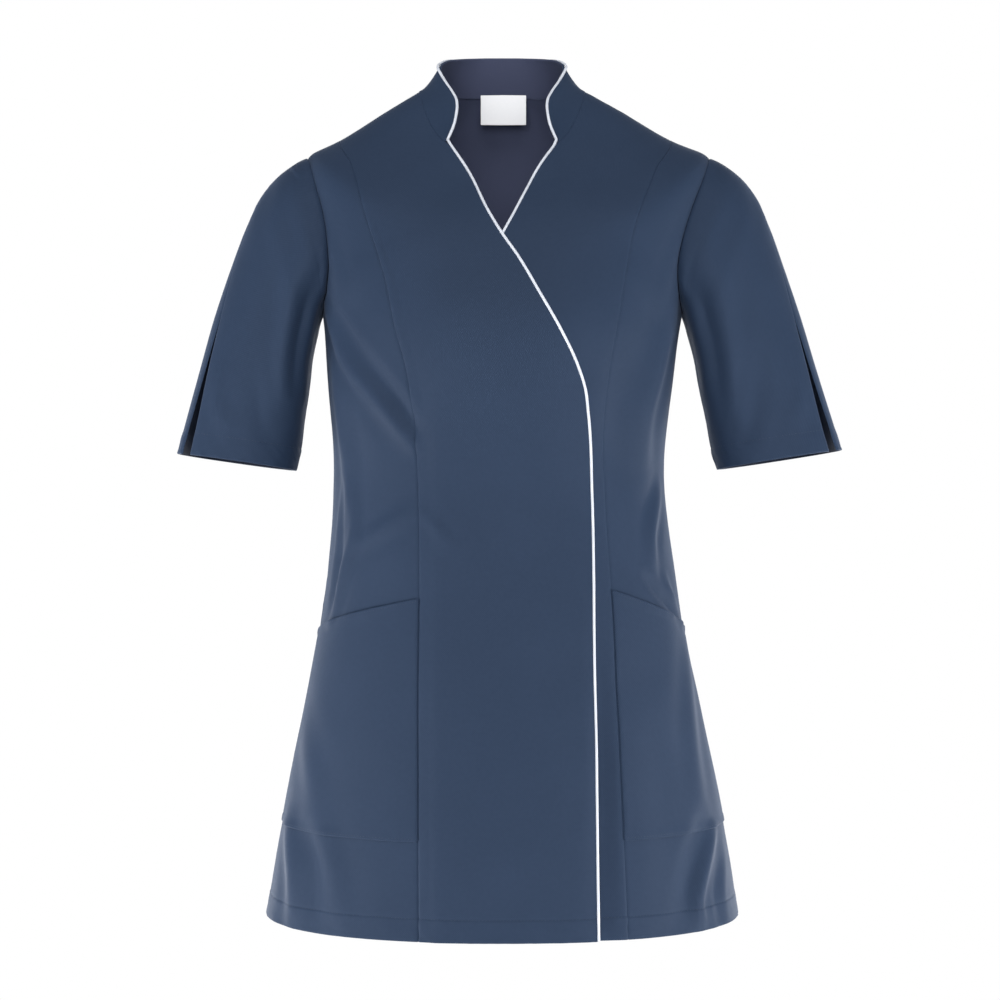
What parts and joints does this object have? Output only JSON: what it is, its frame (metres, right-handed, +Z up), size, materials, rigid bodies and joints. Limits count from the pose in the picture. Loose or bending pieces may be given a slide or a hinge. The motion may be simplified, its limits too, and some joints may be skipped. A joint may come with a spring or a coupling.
{
  "type": "medical tunic",
  "caption": "Wrap-front short-sleeved medical tunic with a stand collar, piped edges and side patch pockets, held open as if worn.",
  "frame": {"origin": "where the wearer's shoulder line crosses the middle of the neck opening, inside the collar", "axes": "+Z up along the wearer's body, +X towards the wearer's left, -Y towards the front"},
  "size_m": [0.5658, 0.2695, 0.7379],
  "materials": {
    "navy_twill": "fine stretch twill, smooth with a slight sheen",
    "white_piping": "satin-covered cord piping",
    "label_tape": "plain woven label tape, left blank"
  },
  "bodies": {
    "root": {"back": "navy_twill", "collar": "navy_twill", "front_over": "navy_twill", "front_side_left": "navy_twill", "front_side_right": "navy_twill", "front_under": "navy_twill", "label": "label_tape", "piping_collar": "white_piping", "piping_over": "white_piping", "piping_under": "white_piping", "pocket_left": "navy_twill", "pocket_right": "navy_twill", "sleeve_back_left": "navy_twill", "sleeve_back_right": "navy_twill", "sleeve_front_left": "navy_twill", "sleeve_front_right": "navy_twill"}
  },
  "joints": []
}
